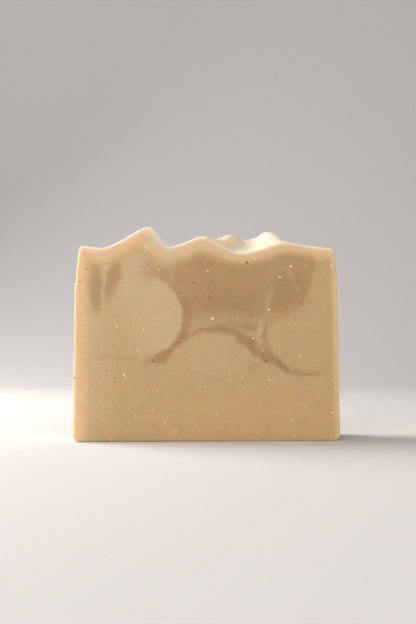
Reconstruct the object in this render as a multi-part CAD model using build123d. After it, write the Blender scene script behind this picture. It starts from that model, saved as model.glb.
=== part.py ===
from build123d import *
import math
import os

# A bar of handmade soap, cut from a loaf and stood on its long bottom edge.
#
# The loaf is poured in a mould, so the bar's bottom and its two ends are moulded faces, and its
# front and back are flat wire cuts. The top is the loaf's own top, which was worked into soft
# ridges with a spoon. The bar is one solid piece.
#
# Frame: millimetres, +Z up, +X along the bar's width, -Y out of the front cut face. The origin
# is the centre of the bottom face.

# Driving dimensions
base_width = 88.0  # across the mould at its floor
bar_thickness = 25.0  # between the two wire cuts
shoulder_height = 64.0  # the loaf's general level, before the ridges
draft_angle = 0.7  # degrees, the mould's end walls lean inwards
mould_floor_radius = 2.0  # round corner between the mould's floor and its end walls
shoulder_inset = 1.1  # how far each end wall rolls in towards the top
shoulder_roll_height = 11.0  # the height over which it rolls in
cut_edge_bevel = 0.4  # light bevel round each wire-cut face

# A crease in the mould's liner left a small step in the left end wall.
liner_step_height = 51.0
liner_step_depth = 0.45
liner_step_run = 1.4
liner_step_round = 2.0

# Spoon ridges on top. Each crest runs from front to back and leans: at depth y it stands at
# crest_x + lean * y, and it is level for crown either side. Its rise fades away from peak_y over
# front_reach and back_reach, and its flanks fall to nothing over left_flank and right_flank.
# A negative rise is a furrow.
ridges = [
    {"crest_x": -25.1, "lean": -0.36, "crown": 0.8, "rise": 6.8, "peak_y": -12.0,
     "front_reach": 20.0, "back_reach": 24.0, "left_flank": 13.0, "right_flank": 6.6},
    {"crest_x": 0.4, "lean": 0.10, "crown": 0.5, "rise": 4.0, "peak_y": -7.0,
     "front_reach": 18.0, "back_reach": 16.0, "left_flank": 11.0, "right_flank": 10.0},
    {"crest_x": 9.8, "lean": 0.12, "crown": 0.8, "rise": 4.2, "peak_y": 2.0,
     "front_reach": 7.5, "back_reach": 9.0, "left_flank": 6.8, "right_flank": 6.8},
    {"crest_x": 23.6, "lean": -0.10, "crown": 0.6, "rise": 5.3, "peak_y": 3.0,
     "front_reach": 10.5, "back_reach": 12.0, "left_flank": 8.5, "right_flank": 7.2},
    {"crest_x": 14.0, "lean": 0.0, "crown": 6.0, "rise": 3.0, "peak_y": 13.0,
     "front_reach": 11.5, "back_reach": 20.0, "left_flank": 18.0, "right_flank": 16.0},
    {"crest_x": 12.0, "lean": 0.0, "crown": 1.6, "rise": -1.7, "peak_y": -14.0,
     "front_reach": 12.0, "back_reach": 12.0, "left_flank": 9.5, "right_flank": 8.0},
    {"crest_x": 29.0, "lean": 0.0, "crown": 2.0, "rise": 1.5, "peak_y": -6.0,
     "front_reach": 25.0, "back_reach": 16.0, "left_flank": 6.0, "right_flank": 18.0},
    {"crest_x": -43.5, "lean": 0.0, "crown": 0.5, "rise": 0.7, "peak_y": -4.0,
     "front_reach": 25.0, "back_reach": 25.0, "left_flank": 4.0, "right_flank": 5.5},
    {"crest_x": -11.0, "lean": 0.3, "crown": 1.0, "rise": 2.2, "peak_y": 13.0,
     "front_reach": 8.0, "back_reach": 9.0, "left_flank": 10.0, "right_flank": 10.0},
]
crest_round = 1.3  # softness of each crest, as a distance across it
flank_hollow = 1.3  # 1 is a straight flank, more is a hollow one
edge_fall = 1.0  # how much lower the loaf's level is at the right end wall

# The blank and the surface that cuts its top
blank_height = 78.0  # the moulded blank stands above the highest ridge
grid_step = 1.0  # spacing of the points that carry the top surface
overhang = 3.0  # how far that surface runs past the bar
clearance_height = 40.0  # depth of the air cut away above it
surface_tolerance = 0.1  # of the spline surface through those points


def flank(across, crown, reach):
    """1 on the crown, falling along a slightly hollow slope to 0 at reach beyond it."""
    beyond = max(abs(across) - crown, 0.0)
    soft = math.sqrt(beyond**2 + crest_round**2) - crest_round
    return (1.0 - min(soft / reach, 1.0)) ** flank_hollow


def ridge_height(ridge, x, y):
    """What one ridge adds to the loaf's level at a point of its plan."""
    across = x - ridge["crest_x"] - ridge["lean"] * y
    side = ridge["left_flank"] if across < 0 else ridge["right_flank"]
    along = y - ridge["peak_y"]
    reach = ridge["front_reach"] if along < 0 else ridge["back_reach"]
    fade = math.exp(-((along / reach) ** 2))
    return ridge["rise"] * fade * flank(across, ridge["crown"], side)


def top_height(x, y):
    """Height of the loaf's worked top at a point of its plan."""
    level = shoulder_height - edge_fall * max(x / (base_width / 2), 0.0) ** 2
    return level + sum(ridge_height(ridge, x, y) for ridge in ridges)


def wall_x(z):
    """Distance of a plain end wall from the bar's middle at a height."""
    return base_width / 2 - z * math.tan(math.radians(draft_angle))


def moulded_section():
    """Front outline of the blank: floor, round feet, leaning walls and their roll inwards."""
    roll_z = shoulder_height - shoulder_roll_height / 2
    roll_slope = shoulder_inset / (shoulder_height - roll_z)
    roll_radius = shoulder_roll_height / 2 / math.tan(math.atan(roll_slope) / 2)
    top_x = wall_x(blank_height) - roll_slope * (blank_height - roll_z)
    step_top = liner_step_height + liner_step_run

    corners = [  # x, z and the radius that rounds the corner
        (-base_width / 2, 0, mould_floor_radius),
        (base_width / 2, 0, mould_floor_radius),
        (wall_x(roll_z), roll_z, roll_radius),
        (top_x, blank_height, 0),
        (liner_step_depth - top_x, blank_height, 0),
        (liner_step_depth - wall_x(roll_z), roll_z, roll_radius),
        (liner_step_depth - wall_x(step_top), step_top, liner_step_round),
        (-wall_x(liner_step_height), liner_step_height, liner_step_round),
    ]
    points = [(x, z) for x, z, _ in corners]
    radii = [radius for _, _, radius in corners]
    return Plane.XZ * make_face(FilletPolyline(*points, radius=radii, close=True))


def worked_top():
    """The loaf's top as one spline surface, a little larger than the bar's plan."""
    half_x = base_width / 2 + overhang
    half_y = bar_thickness / 2 + overhang
    columns = round(2 * half_x / grid_step)
    rows = round(2 * half_y / grid_step)
    points = []
    for i in range(columns + 1):
        x = -half_x + 2 * half_x * i / columns
        ys = [-half_y + 2 * half_y * j / rows for j in range(rows + 1)]
        points.append([(x, y, top_height(x, y)) for y in ys])
    return Face.make_surface_from_array_of_points(points, tol=surface_tolerance, min_deg=3, max_deg=3)


def soap_bar():
    """The mould's section carried through the thickness, bevelled, then cut by the worked top."""
    blank = extrude(moulded_section(), bar_thickness / 2, both=True)
    cut_edges = []
    for face in blank.faces().filter_by(Axis.Y):
        lid = face.edges().sort_by(Axis.Z)[-1]
        cut_edges += [edge for edge in face.edges() if edge != lid]
    blank = chamfer(cut_edges, cut_edge_bevel)
    air = extrude(worked_top(), clearance_height, dir=(0, 0, 1))
    return blank - air


os.makedirs("parts", exist_ok=True)
bar = soap_bar()
export_step(bar, "parts/soap_bar.step")
print("soap_bar", round(bar.volume / 1000, 1), "cm3", bar.bounding_box().size)
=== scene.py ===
import math

import bpy
import numpy as np
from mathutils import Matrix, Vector


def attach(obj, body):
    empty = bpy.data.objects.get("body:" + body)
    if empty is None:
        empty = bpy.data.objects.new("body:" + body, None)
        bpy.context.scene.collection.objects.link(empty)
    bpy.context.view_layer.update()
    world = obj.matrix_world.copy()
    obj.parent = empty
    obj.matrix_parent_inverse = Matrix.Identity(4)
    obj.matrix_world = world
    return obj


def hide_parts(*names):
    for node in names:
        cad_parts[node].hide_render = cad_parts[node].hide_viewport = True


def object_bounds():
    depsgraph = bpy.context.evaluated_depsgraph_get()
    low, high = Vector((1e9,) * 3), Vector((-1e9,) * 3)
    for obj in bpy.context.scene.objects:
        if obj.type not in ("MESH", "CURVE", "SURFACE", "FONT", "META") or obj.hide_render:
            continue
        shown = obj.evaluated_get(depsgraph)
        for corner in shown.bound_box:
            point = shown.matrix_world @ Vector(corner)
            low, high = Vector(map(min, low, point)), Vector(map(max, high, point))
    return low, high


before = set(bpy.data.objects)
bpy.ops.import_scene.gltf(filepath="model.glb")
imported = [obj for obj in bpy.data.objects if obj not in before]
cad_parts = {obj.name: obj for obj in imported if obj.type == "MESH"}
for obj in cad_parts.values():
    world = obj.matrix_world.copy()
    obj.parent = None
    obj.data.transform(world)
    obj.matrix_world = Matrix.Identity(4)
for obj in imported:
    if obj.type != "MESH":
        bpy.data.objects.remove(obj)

# Lengths in the dictionaries are millimetres, in the CAD frame: +X along the bar's width,
# +Z up, -Y out of the front cut face. mm turns them into metres.
mm = 0.001
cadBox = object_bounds()
boxLow = np.array(cadBox[0]) / mm
boxHigh = np.array(cadBox[1]) / mm
print("frame loaded, the bar is", np.round(boxHigh - boxLow, 1), "mm")


bar = {
    "level": 64.0,  # the loaf's general height, before the ridges
    "levelFall": 1.0,  # how much lower it lies at the right end wall
    "draft": 0.7,  # degrees, the mould's end walls lean inwards
    "footRadius": 2.0,  # round corner between the mould's floor and its end walls
    "rollInset": 1.1,  # each end wall rolls in by this much towards the top
    "rollHeight": 11.0,
    "creaseHeight": 51.0,  # a crease of the liner left a step in the left end wall
    "creaseDepth": 0.45,
    "creaseRun": 1.4,
    "cutEdge": 0.55,  # softness of the wire-cut edges
    "crestRound": 1.1,  # how far from a crest its flanks begin to fall straight
    "flankHollow": 1.3,  # above 1 the flanks are hollow
    "stepsAcross": 222,
    "stepsDeep": 44,
    "stepsUp": 138,
    "endCrowd": (1.0, 2.5),  # reach and gain of the finer steps near each edge of the block
    "cutCrowd": (0.8, 3.0),
    "footCrowd": (1.5, 2.5),
    "topCrowd": (1.0, 2.0),
}

# Spoon ridges. Each crest runs from front to back and leans: at depth y it stands at
# x + lean * y, and it is level for crown either side. Its rise fades from peakY over
# front and back, and its flanks fall to nothing over left and right.
topRidges = [
    {"x": -25.1, "lean": -0.36, "crown": 0.8, "rise": 6.8, "peakY": -12.0,
     "front": 20.0, "back": 24.0, "left": 13.0, "right": 6.6},
    {"x": 0.4, "lean": 0.10, "crown": 0.5, "rise": 4.0, "peakY": -7.0,
     "front": 18.0, "back": 16.0, "left": 11.0, "right": 10.0},
    {"x": 9.8, "lean": 0.12, "crown": 0.8, "rise": 4.2, "peakY": 2.0,
     "front": 7.5, "back": 9.0, "left": 6.8, "right": 6.8},
    {"x": 23.6, "lean": -0.10, "crown": 0.6, "rise": 5.3, "peakY": 3.0,
     "front": 10.5, "back": 12.0, "left": 8.5, "right": 7.2},
    {"x": 14.0, "lean": 0.0, "crown": 6.0, "rise": 3.0, "peakY": 13.0,
     "front": 11.5, "back": 20.0, "left": 18.0, "right": 16.0},
    {"x": 12.0, "lean": 0.0, "crown": 1.6, "rise": -1.7, "peakY": -14.0,
     "front": 12.0, "back": 12.0, "left": 9.5, "right": 8.0},
    {"x": 29.0, "lean": 0.0, "crown": 2.0, "rise": 1.5, "peakY": -6.0,
     "front": 25.0, "back": 16.0, "left": 6.0, "right": 18.0},
    {"x": -43.5, "lean": 0.0, "crown": 0.5, "rise": 0.7, "peakY": -4.0,
     "front": 25.0, "back": 25.0, "left": 4.0, "right": 5.5},
    {"x": -11.0, "lean": 0.3, "crown": 1.0, "rise": 2.2, "peakY": 13.0,
     "front": 8.0, "back": 9.0, "left": 10.0, "right": 10.0},
]


# Smooth step: 0 below low, 1 above high, 3t^2 - 2t^3 between them.
def smoothStep(value, low, high):
    t = np.clip((value - low) / (high - low), 0.0, 1.0)
    return t * t * (3.0 - 2.0 * t)


# Height of the worked top: the level, sinking with the square of x to the right, plus each
# ridge's rise times a bell curve along y times (1 - s / reach)^hollow across it, where s is
# the distance past the crown, rounded off near the crest.
def topHeight(x, y):
    height = bar["level"] - bar["levelFall"] * np.maximum(x / boxHigh[0], 0.0) ** 2
    for ridge in topRidges:
        across = x - ridge["x"] - ridge["lean"] * y
        beyond = np.maximum(np.abs(across) - ridge["crown"], 0.0)
        soft = np.sqrt(beyond**2 + bar["crestRound"] ** 2) - bar["crestRound"]
        flank = np.where(across < 0, ridge["left"], ridge["right"])
        along = y - ridge["peakY"]
        reach = np.where(along < 0, ridge["front"], ridge["back"])
        fall = (1.0 - np.minimum(soft / flank, 1.0)) ** bar["flankHollow"]
        height = height + ridge["rise"] * np.exp(-((along / reach) ** 2)) * fall
    return height


# Half width at height z: the draft's straight lean, less a quarter round at the foot, less a
# parabola over the roll, and on the left less a smooth step at the liner's crease.
def halfWidth(z, leftSide):
    lean = boxHigh[0] - z * math.tan(math.radians(bar["draft"]))
    radius = bar["footRadius"]
    foot = radius - np.sqrt(radius**2 - np.clip(radius - z, 0.0, radius) ** 2)
    rollStart = bar["level"] - bar["rollHeight"]
    rolled = np.maximum(z - rollStart, 0.0)
    roll = bar["rollInset"] * (np.minimum(rolled, bar["rollHeight"]) / bar["rollHeight"]) ** 2
    past = np.maximum(rolled - bar["rollHeight"], 0.0)
    roll = roll + past * 2.0 * bar["rollInset"] / bar["rollHeight"]
    creaseTop = bar["creaseHeight"] + bar["creaseRun"]
    crease = bar["creaseDepth"] * smoothStep(z, bar["creaseHeight"], creaseTop)
    return lean - foot - roll - np.where(leftSide, crease, 0.0)


# Places from low to high whose spacing is one over a crowding: 1 plus, about each end, a bell
# curve of the given reach and gain. The crowding is summed and shared out evenly.
def crowdedSteps(low, high, steps, lowCrowd, highCrowd, samples=4001):
    fine = np.linspace(low, high, samples)
    crowding = np.ones_like(fine)
    for centre, (reach, gain) in ((low, lowCrowd), (high, highCrowd)):
        crowding += gain * np.exp(-(((fine - centre) / reach) ** 2))
    total = np.concatenate([[0.0], np.cumsum((crowding[1:] + crowding[:-1]) / 2)])
    return np.interp(np.linspace(0.0, total[-1], steps + 1), total, fine)


# The quads between neighbouring points of a grid, from the grid's point numbers.
def gridQuads(ids):
    return np.stack([ids[:-1, :-1], ids[1:, :-1], ids[1:, 1:], ids[:-1, 1:]], -1).reshape(-1, 4)


# The skin of a lattice block: each of its six sides is a grid of lattice points, with its quads
# turned outwards, and points that two sides share are one vertex.
def latticeSkin(nx, ny, nz):
    def side(rows, columns, place, flip):
        a, b = np.meshgrid(np.arange(rows + 1), np.arange(columns + 1), indexing="ij")
        i, j, k = place(a, b)
        ids = (i * (ny + 1) + j) * (nz + 1) + k
        quads = gridQuads(ids)
        return quads[:, ::-1] if flip else quads

    quads = np.concatenate([
        side(nx, ny, lambda a, b: (a, b, 0 * a), True),
        side(nx, ny, lambda a, b: (a, b, 0 * a + nz), False),
        side(ny, nz, lambda a, b: (0 * a, a, b), True),
        side(ny, nz, lambda a, b: (0 * a + nx, a, b), False),
        side(nz, nx, lambda a, b: (b, 0 * a, a), True),
        side(nz, nx, lambda a, b: (b, 0 * a + ny, a), False),
    ])
    ids, faces = np.unique(quads, return_inverse=True)
    lattice = np.stack([ids // ((ny + 1) * (nz + 1)), ids // (nz + 1) % (ny + 1), ids % (nz + 1)], -1)
    return lattice, faces.reshape(-1, 4)


# A block with soft edges: each point is pulled in to a smaller block, then pushed out again
# along the same direction by the edge's radius.
def softBlock(points, low, high, radius):
    core = np.clip(points, low + radius, high - radius)
    out = points - core
    return core + out * (radius / np.linalg.norm(out, axis=1, keepdims=True))


# The bar: a soft block, whose width then follows halfWidth and whose height follows topHeight.
def barPoints():
    low = np.array([boxLow[0], boxLow[1], 0.0])
    high = np.array([boxHigh[0], boxHigh[1], bar["level"]])
    lattice, faces = latticeSkin(bar["stepsAcross"], bar["stepsDeep"], bar["stepsUp"])
    xs = crowdedSteps(low[0], high[0], bar["stepsAcross"], bar["endCrowd"], bar["endCrowd"])
    ys = crowdedSteps(low[1], high[1], bar["stepsDeep"], bar["cutCrowd"], bar["cutCrowd"])
    zs = crowdedSteps(low[2], high[2], bar["stepsUp"], bar["footCrowd"], bar["topCrowd"])
    block = np.stack([xs[lattice[:, 0]], ys[lattice[:, 1]], zs[lattice[:, 2]]], -1)
    x, y, z = softBlock(block, low, high, bar["cutEdge"]).T
    z = z / bar["level"] * topHeight(x, y)
    x = x / boxHigh[0] * halfWidth(z, x < 0)
    return np.stack([x, y, z], -1), faces


# Points in millimetres and quads, put into a mesh in metres and shaded smooth.
def makeMesh(name, points, faces):
    mesh = bpy.data.meshes.new(name)
    mesh.vertices.add(len(points))
    mesh.vertices.foreach_set("co", (points * mm).astype(np.float32).ravel())
    mesh.loops.add(faces.size)
    mesh.loops.foreach_set("vertex_index", faces.astype(np.int32).ravel())
    mesh.polygons.add(len(faces))
    mesh.polygons.foreach_set("loop_start", np.arange(0, faces.size, faces.shape[1], dtype=np.int32))
    mesh.polygons.foreach_set("use_smooth", np.ones(len(faces), dtype=bool))
    mesh.update(calc_edges=True)
    mesh.validate()
    piece = bpy.data.objects.new(name, mesh)
    bpy.context.scene.collection.objects.link(piece)
    return piece


points, faces = barPoints()
soapBar = makeMesh("marbledSoapBar", points, faces)
print("bar made,", 2 * len(faces), "triangles")


# Colours of the soap's mass, from the darkest swirl to the pale skin with its painted rim light, then of
# its specks.
soapTones = {
    "deep": (0.400, 0.236, 0.090),
    "dark": (0.442, 0.268, 0.108),
    "grey": (0.495, 0.335, 0.170),
    "mid": (0.536, 0.364, 0.172),
    "pale": (0.580, 0.425, 0.238),
    "amber": (0.600, 0.355, 0.135),
    "warm": (0.600, 0.385, 0.180),
    "honey": (0.720, 0.520, 0.265),
    "cream": (0.710, 0.605, 0.460),
    "milk": (0.860, 0.790, 0.660),
    "bark": (0.130, 0.075, 0.035),
    "rust": (0.430, 0.190, 0.050),
}

soapFinish = {
    "wanders": ((1.3, 0.10), (0.9, 0.24), (0.30, 0.6)),  # reach and scale of the swirls' waver
    "drift": (0.28, -0.18),  # how far the swirl slides in x and z for each step deeper
    "strokeFull": 0.3,  # share of a stroke, by the cosine of its angle, that is at full width
    "skinAndGlowCream": 2.2,  # depth over which the pale skin and its painted rim light fade
    "skinAndGlowHoney": 3.4,  # depth of the warm band under it, a painted glow of light under the surface
    "skinAndGlowHoneyReach": 2.2,
    "skinAndGlowHoneyShare": 0.75,
    "skinAndGlowThinner": 0.45,  # how much thinner the top's skin and painted rim light are right of the middle, away from the light
    "skinAndGlowThinnerRun": 10.0,
    "leftSkinAndGlow": (0.7, 2.2),  # an end wall's skin and painted rim light: depth gained inwards, and at the wall
    "rightSkinAndGlow": (1.8, 2.4),
    "paleSpeckSize": 0.85,
    "paleSpeckShare": 0.75,
    "darkSpeckShare": 0.9,
    "mottleScale": 0.35,
    "mottle": (0.97, 1.03),
    "dragStretch": (0.10, 1.0, 1.3),  # the drag lines run level, along x
    "dragHeight": 0.06,
    "grainScale": 1.6,
    "grainHeight": 0.10,
    "roughness": (0.42, 0.58),
    "lightReach": 4.0,  # how far light travels under the surface
    "lightReachTints": (1.0, 0.55, 0.30),  # and its share for red, green and blue
    "ior": 1.45,
}

# Swirls, laid over each other in this order, in x and z on the front cut. A blob fills an
# ellipse of size, turned by turn degrees. An arc is a stroke round a centre at radius, from
# one angle to another, anticlockwise from +X, and it tapers to its ends. Soft is the width of
# the edge, and fade is a direction with the places where the shape starts and is full.
swirls = [
    # the mass is warmer low down on the right, and paler at the left, where the pale band is partly
    # painted light falling from the left
    {"shape": "blob", "at": (24.0, 2.0), "size": (44.0, 15.0), "turn": 6, "soft": 9.0,
     "tone": "warm", "strength": 0.8},
    {"shape": "blob", "at": (-42.0, 40.0), "size": (9.0, 44.0), "soft": 5.0,
     "tone": "pale", "strength": 0.7},
    # the dark cloud under the top, and its warm tongue
    {"shape": "blob", "at": (16.0, 57.5), "size": (19.9, 20.2), "soft": 0.9,
     "tone": "dark", "strength": 0.85},
    {"shape": "blob", "at": (1.0, 51.0), "size": (15.0, 12.5), "soft": 3.0,
     "tone": "dark", "strength": 0.9},
    {"shape": "blob", "at": (7.0, 45.5), "size": (12.5, 4.5), "soft": 3.5,
     "tone": "deep", "strength": 0.6},
    {"shape": "blob", "at": (27.5, 48.5), "size": (6.0, 8.0), "turn": -20, "soft": 3.5,
     "tone": "deep", "strength": 0.6},
    {"shape": "blob", "at": (26.0, 41.0), "size": (4.6, 2.4), "turn": 25, "soft": 1.4,
     "tone": "amber", "strength": 0.35},
    # the olive band between the cloud and the dome
    {"shape": "blob", "at": (5.0, 38.5), "size": (16.0, 3.4), "soft": 2.4,
     "tone": "grey", "strength": 0.65},
    {"shape": "blob", "at": (12.5, 37.6), "size": (4.2, 1.0), "turn": -8, "soft": 1.0,
     "tone": "deep", "strength": 0.7},
    # the dark wedge beside the round pale swirl
    {"shape": "arc", "at": (-22.1, 41.0), "radius": 14.6, "from": -95, "to": 50, "width": 0.9,
     "soft": 2.6, "tone": "deep", "strength": 0.75},
    {"shape": "arc", "at": (-22.1, 41.0), "radius": 15.2, "from": -75, "to": 5, "width": 1.4,
     "soft": 1.8, "tone": "deep", "strength": 0.55},
    {"shape": "blob", "at": (-28.0, 27.5), "size": (12.0, 0.5), "turn": 1, "soft": 0.8,
     "tone": "dark", "strength": 0.4},
    # the round pale swirl and its stem
    {"shape": "blob", "at": (-22.1, 41.0), "size": (14.0, 14.0), "soft": 0.6,
     "tone": "pale", "strength": 0.95, "fade": (1, 0.5, -15, 3)},
    {"shape": "blob", "at": (-24.5, 56.5), "size": (4.0, 9.0), "turn": -12, "soft": 2.0,
     "tone": "pale", "strength": 0.8},
    {"shape": "blob", "at": (-19.0, 56.8), "size": (2.0, 4.0), "soft": 1.6,
     "tone": "grey", "strength": 0.9},
    {"shape": "blob", "at": (-14.0, 55.5), "size": (3.4, 2.2), "turn": -35, "soft": 1.5,
     "tone": "dark", "strength": 0.6},
    {"shape": "blob", "at": (-11.4, 54.8), "size": (0.8, 4.5), "soft": 0.9,
     "tone": "grey", "strength": 0.8},
    # the two dark lobes at the left and the pale streak between them
    {"shape": "blob", "at": (-36.6, 51.5), "size": (2.5, 8.8), "turn": 4, "soft": 1.1,
     "tone": "dark", "strength": 0.9},
    {"shape": "blob", "at": (-31.2, 53.5), "size": (2.6, 7.5), "turn": -14, "soft": 1.4,
     "tone": "dark", "strength": 0.85},
    {"shape": "blob", "at": (-33.9, 51.0), "size": (0.6, 7.0), "turn": 2, "soft": 0.7,
     "tone": "pale", "strength": 0.7},
    {"shape": "blob", "at": (-30.0, 60.5), "size": (7.0, 1.6), "turn": 32, "soft": 1.8,
     "tone": "amber", "strength": 0.5},
    # the dome, with its dark outline
    {"shape": "arc", "at": (2.5, 18.2), "radius": 18.6, "from": 55, "to": 155, "width": 0.2,
     "soft": 1.5, "tone": "deep", "strength": 0.6},
    {"shape": "arc", "at": (2.3, 24.2), "radius": 12.6, "from": -15, "to": 110, "width": 0.8,
     "soft": 2.0, "tone": "deep", "strength": 0.75},
    {"shape": "blob", "at": (13.6, 31.6), "size": (5.4, 2.6), "turn": -42, "soft": 1.4,
     "tone": "deep", "strength": 1.0},
    {"shape": "blob", "at": (19.6, 26.8), "size": (3.6, 1.2), "turn": -22, "soft": 1.0,
     "tone": "deep", "strength": 1.0},
    {"shape": "blob", "at": (2.0, 17.0), "size": (17.0, 19.0), "soft": 0.7,
     "tone": "mid", "strength": 0.95, "fade": (0, 1, 18, 30)},
    {"shape": "blob", "at": (2.5, 29.0), "size": (9.5, 6.0), "soft": 3.0,
     "tone": "pale", "strength": 0.35},
    {"shape": "blob", "at": (16.4, 26.4), "size": (1.7, 1.0), "turn": -20, "soft": 0.8,
     "tone": "pale", "strength": 0.7},
    # the right round swirl, with its dark tail
    {"shape": "arc", "at": (34.4, 37.0), "radius": 15.4, "from": 150, "to": 300, "width": 0.3,
     "soft": 1.4, "tone": "deep", "strength": 0.65},
    {"shape": "arc", "at": (34.4, 37.0), "radius": 15.6, "from": 190, "to": 250, "width": 0.9,
     "soft": 1.0, "tone": "deep", "strength": 0.7},
    {"shape": "blob", "at": (34.4, 37.0), "size": (14.8, 14.8), "soft": 0.6,
     "tone": "mid", "strength": 0.9, "fade": (0.45, -1, -34, -22)},
    # pale streaks from the cloud down between the dark strokes
    {"shape": "blob", "at": (20.6, 44.6), "size": (0.9, 5.2), "turn": -12, "soft": 1.0,
     "tone": "grey", "strength": 0.9},
    {"shape": "blob", "at": (17.6, 36.5), "size": (0.8, 4.0), "turn": -8, "soft": 0.8,
     "tone": "pale", "strength": 0.8},
    {"shape": "blob", "at": (19.6, 31.4), "size": (0.6, 3.6), "turn": 40, "soft": 0.6,
     "tone": "grey", "strength": 0.8},
    {"shape": "blob", "at": (27.8, 55.2), "size": (0.8, 2.6), "turn": 30, "soft": 0.7,
     "tone": "grey", "strength": 0.6},
    {"shape": "blob", "at": (29.8, 50.8), "size": (0.7, 2.2), "turn": 28, "soft": 0.6,
     "tone": "grey", "strength": 0.5},
    # warm marks by the rims
    {"shape": "blob", "at": (35.4, 61.2), "size": (1.4, 1.8), "turn": 30, "soft": 0.8,
     "tone": "amber", "strength": 0.5},
    {"shape": "blob", "at": (-41.2, 27.0), "size": (0.8, 6.4), "soft": 0.7,
     "tone": "amber", "strength": 0.6},
]

# Painted shade: the orange tone of the folded ridges' shaded near faces, in the same form.
paintedShadeFolds = [
    {"shape": "blob", "at": (8.0, 66.6), "size": (4.0, 1.5), "turn": -12, "soft": 0.9,
     "tone": "honey", "strength": 0.7},
    {"shape": "blob", "at": (20.2, 66.4), "size": (1.6, 1.3), "turn": 30, "soft": 0.8,
     "tone": "honey", "strength": 0.5},
]

# Seeds and crystals that the wire laid bare on the front cut: x, z and radius.
paleSpecks = [
    (-27.1, 22.0, 0.50), (-26.7, 21.2, 0.30), (11.9, 20.9, 0.36), (20.8, 20.1, 0.42),
    (31.1, 27.7, 0.42), (20.9, 43.3, 0.45), (16.3, 60.2, 0.28), (12.2, 62.5, 0.38),
    (0.5, 56.1, 0.32), (-15.7, 56.9, 0.40), (-32.7, 57.5, 0.42), (-40.3, 40.6, 0.36),
    (-29.4, 37.9, 0.36), (-22.7, 29.9, 0.34), (-10.0, 3.8, 0.40), (-13.7, 6.3, 0.38),
    (28.5, 6.9, 0.40), (41.4, 9.2, 0.42), (41.6, 57.8, 0.45), (15.6, 33.8, 0.40),
    (2.2, 40.4, 0.60), (-19.8, 64.1, 0.45), (3.7, 8.7, 0.30), (-23.4, 8.5, 0.28),
    (-29.8, 39.0, 0.28), (24.5, 54.0, 0.50), (28.2, 57.6, 0.50), (-20.6, 37.0, 0.40),
    (-16.2, 16.6, 0.30), (17.6, 12.2, 0.30),
]
darkSpecks = [
    (-17.2, 26.3, 0.38, "bark"), (19.7, 26.3, 0.42, "bark"), (18.9, 28.8, 0.26, "bark"),
    (1.3, 47.5, 0.34, "bark"), (-3.8, 52.2, 0.36, "bark"), (13.7, 58.9, 0.42, "bark"),
    (-2.3, 34.6, 0.30, "rust"), (14.9, 41.6, 0.32, "bark"), (-43.4, 21.0, 0.34, "bark"),
    (-9.6, 54.9, 0.36, "rust"), (-32.6, 64.9, 0.50, "rust"), (-39.5, 57.1, 0.42, "rust"),
    (-41.5, 52.9, 0.36, "rust"), (-9.0, 53.2, 0.22, "rust"), (2.4, 46.6, 0.24, "rust"),
]

# Finer specks scattered through the whole bar: cells a speck apart, the share of cells that
# hold one, the largest radius, and how strongly it shows.
scatteredSpecks = [
    {"spacing": 2.0, "share": 0.45, "radius": 0.30, "tone": "milk", "strength": 0.50},
    {"spacing": 1.3, "share": 0.40, "radius": 0.28, "tone": "cream", "strength": 0.40},
    {"spacing": 3.4, "share": 0.40, "radius": 0.95, "tone": "cream", "strength": 0.20},
    {"spacing": 6.5, "share": 0.30, "radius": 0.36, "tone": "rust", "strength": 0.55},
]


# A new node with its settings.
def addNode(tree, kind, **settings):
    node = tree.nodes.new(kind)
    for name, value in settings.items():
        setattr(node, name, value)
    return node


# A socket takes either a wire or a plain value.
def feed(tree, socket, value):
    if isinstance(value, bpy.types.NodeSocket):
        tree.links.new(value, socket)
    else:
        socket.default_value = value


# One step of arithmetic on numbers, and the same on vectors.
def maths(tree, operation, *values):
    node = addNode(tree, "ShaderNodeMath", operation=operation)
    for socket, value in zip(node.inputs, values):
        feed(tree, socket, value)
    return node.outputs[0]


def vectorMaths(tree, operation, *values, scale=None):
    node = addNode(tree, "ShaderNodeVectorMath", operation=operation)
    for socket, value in zip(node.inputs, values):
        feed(tree, socket, value)
    if scale is not None:
        feed(tree, node.inputs["Scale"], scale)
    return node.outputs["Value" if operation in ("LENGTH", "DOT_PRODUCT", "DISTANCE") else "Vector"]


# Smooth step between two input values, from one output value to another.
def easeBetween(tree, value, low, high, lowResult=0.0, highResult=1.0):
    node = addNode(tree, "ShaderNodeMapRange", interpolation_type="SMOOTHSTEP")
    for socket, number in zip(node.inputs, (value, low, high, lowResult, highResult)):
        feed(tree, socket, number)
    return node.outputs[0]


# The first colour, changed to the second by the factor.
def blend(tree, factor, first, second):
    node = addNode(tree, "ShaderNodeMix", data_type="RGBA")
    feed(tree, node.inputs[0], factor)
    feed(tree, node.inputs[6], first)
    feed(tree, node.inputs[7], second)
    return node.outputs[2]


def tone(name):
    return (*soapTones[name], 1.0)


# Soft noise at a place, as one number or as a colour's three.
def noiseAt(tree, place, scale, detail=2.0, output="Factor"):
    node = addNode(tree, "ShaderNodeTexNoise")
    feed(tree, node.inputs["Vector"], place)
    node.inputs["Scale"].default_value = scale
    node.inputs["Detail"].default_value = detail
    return node.outputs["Fac" if output == "Factor" else "Color"]


# Noise mostly lies between 0.3 and 0.7, and is spread out to two values.
def spread(tree, noise, lowResult, highResult):
    return easeBetween(tree, noise, 0.3, 0.7, lowResult, highResult)


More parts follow.
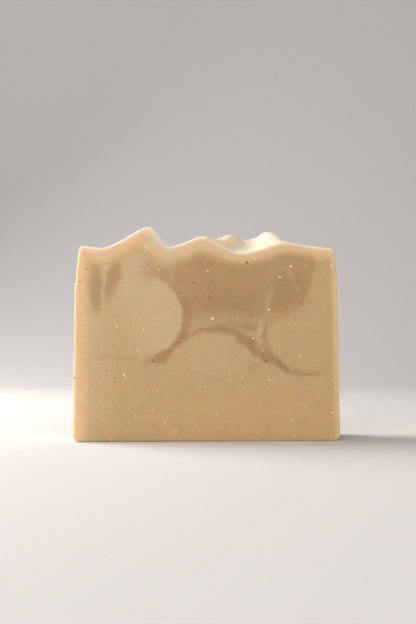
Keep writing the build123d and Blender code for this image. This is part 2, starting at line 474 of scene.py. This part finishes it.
# Place in millimetres, slid and warped, so that the swirls run on through the bar: x and z
# move with the depth behind the front cut, and three sizes of noise make them wander.
def swirlPlace(tree, place):
    parts = addNode(tree, "ShaderNodeSeparateXYZ")
    feed(tree, parts.inputs[0], place)
    depth = maths(tree, "SUBTRACT", parts.outputs[1], float(boxLow[1]))
    slideX = maths(tree, "MULTIPLY_ADD", depth, soapFinish["drift"][0], parts.outputs[0])
    slideZ = maths(tree, "MULTIPLY_ADD", depth, soapFinish["drift"][1], parts.outputs[2])
    slid = addNode(tree, "ShaderNodeCombineXYZ")
    feed(tree, slid.inputs[0], slideX)
    feed(tree, slid.inputs[2], slideZ)
    wander = slid.outputs[0]
    for size, scale in soapFinish["wanders"]:
        push = vectorMaths(tree, "SUBTRACT", noiseAt(tree, place, scale, 1.0, "Color"), (0.5, 0.5, 0.5))
        step = vectorMaths(tree, "MULTIPLY", push, (2 * size, 0.0, 2 * size))
        wander = vectorMaths(tree, "ADD", wander, step)
    return wander


# How far inside a swirl a place is, from 0 to 1. In a blob it eases off as the place's distance
# over the ellipse passes 1. In an arc it eases off as the distance from the circle passes the
# width, and the width tapers with the cosine of the angle from the stroke's middle.
def inShape(tree, place, shape):
    mapping = addNode(tree, "ShaderNodeMapping", vector_type="TEXTURE")
    feed(tree, mapping.inputs["Vector"], place)
    mapping.inputs["Location"].default_value = (shape["at"][0], 0.0, shape["at"][1])
    if shape["shape"] == "blob":
        width, height = shape["size"]
        mapping.inputs["Rotation"].default_value = (0.0, -math.radians(shape.get("turn", 0.0)), 0.0)
        mapping.inputs["Scale"].default_value = (width, 1.0, height)
        reach = vectorMaths(tree, "LENGTH", mapping.outputs[0])
        soft = shape["soft"] / min(width, height)
        inside = easeBetween(tree, reach, 1.0 - soft, 1.0 + soft, 1.0, 0.0)
    else:
        middle = math.radians((shape["from"] + shape["to"]) / 2)
        half = math.radians((shape["to"] - shape["from"]) / 2)
        mapping.inputs["Rotation"].default_value = (0.0, -middle, 0.0)
        reach = vectorMaths(tree, "LENGTH", mapping.outputs[0])
        away = maths(tree, "ABSOLUTE", maths(tree, "SUBTRACT", reach, shape["radius"]))
        forward = vectorMaths(tree, "DOT_PRODUCT", mapping.outputs[0], (1, 0, 0))
        bearing = maths(tree, "DIVIDE", forward, reach)
        full = 1.0 - soapFinish["strokeFull"] * (1.0 - math.cos(half))
        taper = easeBetween(tree, bearing, math.cos(half), full)
        width = maths(tree, "MULTIPLY", taper, shape["width"])
        outer = maths(tree, "ADD", width, shape["soft"])
        inside = maths(tree, "MULTIPLY", easeBetween(tree, away, width, outer, 1.0, 0.0), taper)
    if "fade" in shape:
        alongX, alongZ, start, full = shape["fade"]
        along = vectorMaths(tree, "DOT_PRODUCT", place, (alongX, 0.0, alongZ))
        inside = maths(tree, "MULTIPLY", inside, easeBetween(tree, along, start, full))
    return inside


# A small ball of another colour round a point of the front cut.
def laySpeck(tree, place, colour, x, z, radius, name, strength):
    away = vectorMaths(tree, "DISTANCE", place, (x, float(boxLow[1]), z))
    factor = easeBetween(tree, away, 0.55 * radius, 1.25 * radius, strength, 0.0)
    return blend(tree, factor, colour, tone(name))


# Balls at the points of a cell pattern, in the cells whose random number is under the share.
# A second random number makes each between 0.4 and 1 times the largest radius.
def scatterSpecks(tree, place, colour, specks):
    cells = addNode(tree, "ShaderNodeTexVoronoi", voronoi_dimensions="3D", feature="F1")
    feed(tree, cells.inputs["Vector"], place)
    cells.inputs["Scale"].default_value = 1.0 / specks["spacing"]
    draw = addNode(tree, "ShaderNodeSeparateColor")
    feed(tree, draw.inputs[0], cells.outputs["Color"])
    chosen = maths(tree, "LESS_THAN", draw.outputs[0], specks["share"])
    radius = maths(tree, "MULTIPLY_ADD", draw.outputs[1], 0.6, 0.4)
    size = maths(tree, "DIVIDE", cells.outputs["Distance"], radius)
    edge = specks["radius"] / specks["spacing"]
    inside = easeBetween(tree, size, 0.5 * edge, edge, specks["strength"], 0.0)
    factor = maths(tree, "MULTIPLY", inside, chosen)
    return blend(tree, factor, colour, tone(specks["tone"]))


# A bell curve: e to the minus square of the value.
def bell(tree, value):
    square = maths(tree, "MULTIPLY", value, value)
    return maths(tree, "EXPONENT", maths(tree, "MULTIPLY", square, -1.0))


# Lays each shape's tone over the colour, as strong as the place is inside the shape.
def layShapes(tree, place, colour, shapes):
    for shape in shapes:
        factor = maths(tree, "MULTIPLY", inShape(tree, place, shape), shape["strength"])
        colour = blend(tree, factor, colour, tone(shape["tone"]))
    return colour


# Marbled soap: swirls, a pale skin partly of painted rim light, and specks in colour, a faint grain, and
# light let in under it.
def soapMaterial():
    material = bpy.data.materials.new("marbledSoap")
    material.use_nodes = True
    tree = material.node_tree
    shader = tree.nodes["Principled BSDF"]
    coordinates = addNode(tree, "ShaderNodeTexCoord")
    place = vectorMaths(tree, "SCALE", coordinates.outputs["Object"], scale=1.0 / mm)
    wander = swirlPlace(tree, place)
    colour = layShapes(tree, wander, tone("mid"), swirls)

    # The skin that was moulded or worked is paler, with a warm band under it; both are partly real and
    # partly painted light, the glow of light let in under the top and the end walls.
    depth = addNode(tree, "ShaderNodeAttribute", attribute_name="skinAndGlowDepth").outputs["Fac"]
    belowHoney = maths(tree, "SUBTRACT", depth, soapFinish["skinAndGlowHoney"])
    honeyBand = bell(tree, maths(tree, "DIVIDE", belowHoney, soapFinish["skinAndGlowHoneyReach"]))
    honeyShare = maths(tree, "MULTIPLY", honeyBand, soapFinish["skinAndGlowHoneyShare"])
    colour = blend(tree, honeyShare, colour, tone("honey"))
    creamShare = bell(tree, maths(tree, "DIVIDE", depth, soapFinish["skinAndGlowCream"]))
    colour = blend(tree, creamShare, colour, tone("cream"))

    # Painted shade on the folded ridges' near faces, carried straight back through the bar.
    flatPlace = vectorMaths(tree, "MULTIPLY", place, (1.0, 0.0, 1.0))
    colour = layShapes(tree, flatPlace, colour, paintedShadeFolds)

    # Specks, and a faint unevenness of the whole mass.
    for specks in scatteredSpecks:
        colour = scatterSpecks(tree, place, colour, specks)
    for x, z, radius in paleSpecks:
        radius = soapFinish["paleSpeckSize"] * radius
        colour = laySpeck(tree, place, colour, x, z, radius, "milk", soapFinish["paleSpeckShare"])
    for x, z, radius, name in darkSpecks:
        colour = laySpeck(tree, place, colour, x, z, radius, name, soapFinish["darkSpeckShare"])
    mottle = addNode(tree, "ShaderNodeHueSaturation")
    patches = noiseAt(tree, place, soapFinish["mottleScale"], 4.0)
    feed(tree, mottle.inputs["Value"], spread(tree, patches, *soapFinish["mottle"]))
    feed(tree, mottle.inputs["Color"], colour)
    feed(tree, shader.inputs["Base Color"], mottle.outputs[0])

    # The wire's faint level drag lines, and a waxy grain.
    dragPlace = vectorMaths(tree, "MULTIPLY", place, soapFinish["dragStretch"])
    drag = maths(tree, "MULTIPLY", noiseAt(tree, dragPlace, 1.0, 3.0), soapFinish["dragHeight"])
    grainNoise = noiseAt(tree, place, soapFinish["grainScale"], 3.0)
    grain = maths(tree, "MULTIPLY", grainNoise, soapFinish["grainHeight"])
    bump = addNode(tree, "ShaderNodeBump")
    feed(tree, bump.inputs["Height"], maths(tree, "ADD", drag, grain))
    bump.inputs["Distance"].default_value = mm
    feed(tree, shader.inputs["Normal"], bump.outputs[0])
    waxy = noiseAt(tree, place, 0.8, 2.0)
    feed(tree, shader.inputs["Roughness"], spread(tree, waxy, *soapFinish["roughness"]))

    shader.inputs["Subsurface Weight"].default_value = 1.0
    shader.inputs["Subsurface Radius"].default_value = soapFinish["lightReachTints"]
    shader.inputs["Subsurface Scale"].default_value = soapFinish["lightReach"] * mm
    shader.inputs["IOR"].default_value = soapFinish["ior"]
    return material


# Depth under the worked top: the least distance to points of the top at the same y, looked for
# out to searchReach either side, and more, by the thinning share in soapFinish, right of the middle.
# Depth under an end wall: a start plus a share of half width less the distance from the middle.
# The depth of the pale skin and its painted rim light is the smaller.
def skinAndGlowDepth(points, searchReach=8.0, searchSteps=33):
    x, y, z = points.T
    nearest = np.full(len(x), searchReach)
    for offset in np.linspace(-searchReach, searchReach, searchSteps):
        drop = np.maximum(topHeight(x + offset, y) - z, 0.0)
        nearest = np.minimum(nearest, np.hypot(offset, drop))
    thinner = smoothStep(x, 0.0, soapFinish["skinAndGlowThinnerRun"])
    nearest = nearest * (1.0 + soapFinish["skinAndGlowThinner"] * thinner)
    inFromWall = halfWidth(z, x < 0) - np.abs(x)
    leftGain, leftStart = soapFinish["leftSkinAndGlow"]
    rightGain, rightStart = soapFinish["rightSkinAndGlow"]
    wall = np.where(x < 0, leftGain * inFromWall + leftStart, rightGain * inFromWall + rightStart)
    return np.maximum(np.minimum(nearest, wall), 0.0)


# One number for each of the piece's vertices, which its material reads by name.
def addField(piece, name, values):
    field = piece.data.attributes.new(name, "FLOAT", "POINT")
    field.data.foreach_set("value", values.astype(np.float32))


addField(soapBar, "skinAndGlowDepth", skinAndGlowDepth(points))
soapBar.data.materials.append(soapMaterial())
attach(soapBar, "root")
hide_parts("soap_bar")
print("soap finished with", len(swirls), "swirls and", len(paleSpecks) + len(darkSpecks), "placed specks")


studio = {
    "floorFront": -1500.0,
    "sweepStart": 420.0,  # where the floor begins to curve up into the backdrop
    "sweepRadius": 500.0,
    "sweepSteps": 32,
    "height": 1500.0,
    "halfWidth": 1800.0,
    "paper": (0.60, 0.565, 0.54),
    "paperRoughness": 0.85,
    "room": (0.92, 0.95, 1.0),  # colour and strength of the light from all around
    "roomStrength": 0.32,
}


# A roll of paper: a profile of floor, quarter round and wall in y and z, carried along x.
def paperSweep():
    turn = np.linspace(0.0, math.pi / 2, studio["sweepSteps"] + 1)
    radius = studio["sweepRadius"]
    y = np.concatenate([[studio["floorFront"]], studio["sweepStart"] + radius * np.sin(turn)])
    z = np.concatenate([[0.0], radius * (1.0 - np.cos(turn))])
    y = np.append(y, y[-1])
    z = np.append(z, studio["height"])
    across = np.array([-studio["halfWidth"], studio["halfWidth"]])
    xGrid, yGrid = np.meshgrid(across, y, indexing="ij")
    zGrid = np.broadcast_to(z, yGrid.shape)
    points = np.stack([xGrid, yGrid, zGrid], -1).reshape(-1, 3)
    ids = np.arange(2 * len(y)).reshape(2, len(y))
    return points, gridQuads(ids)


paper = makeMesh("paperSweep", *paperSweep())
paperMaterial = bpy.data.materials.new("palePaper")
paperMaterial.use_nodes = True
paperShader = paperMaterial.node_tree.nodes["Principled BSDF"]
paperShader.inputs["Base Color"].default_value = (*studio["paper"], 1.0)
paperShader.inputs["Roughness"].default_value = studio["paperRoughness"]
paper.data.materials.append(paperMaterial)


# A square area light at a place in millimetres, turned to face its target.
def softLight(name, place, target, width, power, colour):
    light = bpy.data.lights.new(name, "AREA")
    light.shape = "SQUARE"
    light.size = width * mm
    light.energy = power
    light.color = colour
    lamp = bpy.data.objects.new(name, light)
    lamp.location = [v * mm for v in place]
    towards = Vector(target) - Vector(place)
    lamp.rotation_euler = towards.to_track_quat("-Z", "Y").to_euler()
    bpy.context.scene.collection.objects.link(lamp)
    return lamp


lights = [
    {"name": "windowLight", "place": (-420, 170, 330), "target": (0, 0, 35),
     "width": 420, "power": 4.85, "colour": (1.0, 0.98, 0.96)},
    {"name": "frontFill", "place": (-150, -900, 500), "target": (0, 0, 35),
     "width": 900, "power": 7.6, "colour": (1.0, 0.98, 0.965)},
    {"name": "backdropWash", "place": (-300, 350, 1200), "target": (-100, 900, 700),
     "width": 500, "power": 2.9, "colour": (0.88, 0.95, 1.0)},
]
for lamp in lights:
    softLight(**lamp)

world = bpy.data.worlds.new("roomLight")
world.use_nodes = True
room = world.node_tree.nodes["Background"]
room.inputs["Color"].default_value = (*studio["room"], 1.0)
room.inputs["Strength"].default_value = studio["roomStrength"]
bpy.context.scene.world = world
bpy.context.scene.view_settings.view_transform = "Standard"

camera = {
    "place": (0.66, -343.5, 31.0),
    "tiltUp": 2.0,  # degrees
    "roll": 0.3,
    "lens": 57.9,
    "sensor": 36.0,
    "clip": (0.01, 20.0),  # metres
}
cameraData = bpy.data.cameras.new("camera")
cameraData.lens = camera["lens"]
cameraData.sensor_width = camera["sensor"]
cameraData.clip_start, cameraData.clip_end = camera["clip"]
viewer = bpy.data.objects.new("camera", cameraData)
viewer.location = [v * mm for v in camera["place"]]
viewer.rotation_euler = (math.radians(90 + camera["tiltUp"]), math.radians(camera["roll"]), 0.0)
bpy.context.scene.collection.objects.link(viewer)
bpy.context.scene.camera = viewer
print("studio and camera placed")
